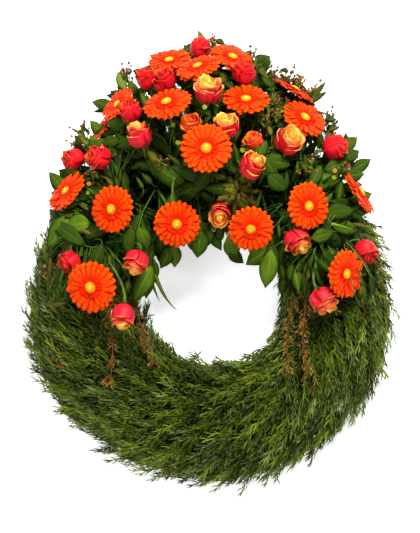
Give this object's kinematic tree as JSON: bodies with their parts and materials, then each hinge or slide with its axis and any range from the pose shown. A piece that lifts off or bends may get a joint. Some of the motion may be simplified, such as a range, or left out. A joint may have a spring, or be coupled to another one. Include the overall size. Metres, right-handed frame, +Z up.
{
  "type": "memorial wreath",
  "caption": "Memorial wreath lying flat: a straw ring bound with swept conifer, crowned by an arc of gerberas, roses, leaves and brown seed sprays on foam, open at its middle.",
  "frame": {"origin": "on the ground under the middle of the wreath's bounding box, with the wreath lying on its back", "axes": "+Z up from the flat straw back to the flowers; +Y from the bare conifer end to the flower spray; +X to the right as the picture shows it"},
  "size_m": [0.7045, 0.8412, 0.2908],
  "materials": {
    "straw": "dry bound straw",
    "conifer": "fresh conifer needles",
    "foam": "matt flower foam",
    "greens": "satin leaves and stems",
    "gerbera": "fresh petals",
    "rose": "fresh petals",
    "seeds": "dry seed heads"
  },
  "bodies": {
    "root": {"conifer_01": "conifer", "conifer_02": "conifer", "conifer_03": "conifer", "conifer_04": "conifer", "conifer_05": "conifer", "conifer_06": "conifer", "conifer_07": "conifer", "conifer_08": "conifer", "conifer_09": "conifer", "conifer_10": "conifer", "foam_centre": "foam", "foam_left": "foam", "foam_right": "foam", "gerbera_01": "gerbera", "gerbera_02": "gerbera", "gerbera_03": "gerbera", "gerbera_04": "gerbera", "gerbera_05": "gerbera", "gerbera_06": "gerbera", "gerbera_07": "gerbera", "gerbera_08": "gerbera", "gerbera_09": "gerbera", "gerbera_10": "gerbera", "gerbera_11": "gerbera", "gerbera_12": "gerbera", "gerbera_13": "gerbera", "gerbera_14": "gerbera", "gerbera_15": "gerbera", "gerbera_16": "gerbera", "gerbera_17": "gerbera", "gerbera_18": "gerbera", "greens_centre": "greens", "greens_left": "greens", "greens_right": "greens", "rose_01": "rose", "rose_02": "rose", "rose_03": "rose", "rose_04": "rose", "rose_05": "rose", "rose_06": "rose", "rose_07": "rose", "rose_08": "rose", "rose_09": "rose", "rose_10": "rose", "rose_11": "rose", "rose_12": "rose", "rose_13": "rose", "rose_14": "rose", "rose_15": "rose", "rose_16": "rose", "rose_17": "rose", "rose_18": "rose", "rose_19": "rose", "rose_20": "rose", "rose_21": "rose", "rose_22": "rose", "seed_spray_left": "seeds", "seed_spray_right": "seeds", "straw_ring": "straw"}
  },
  "joints": []
}
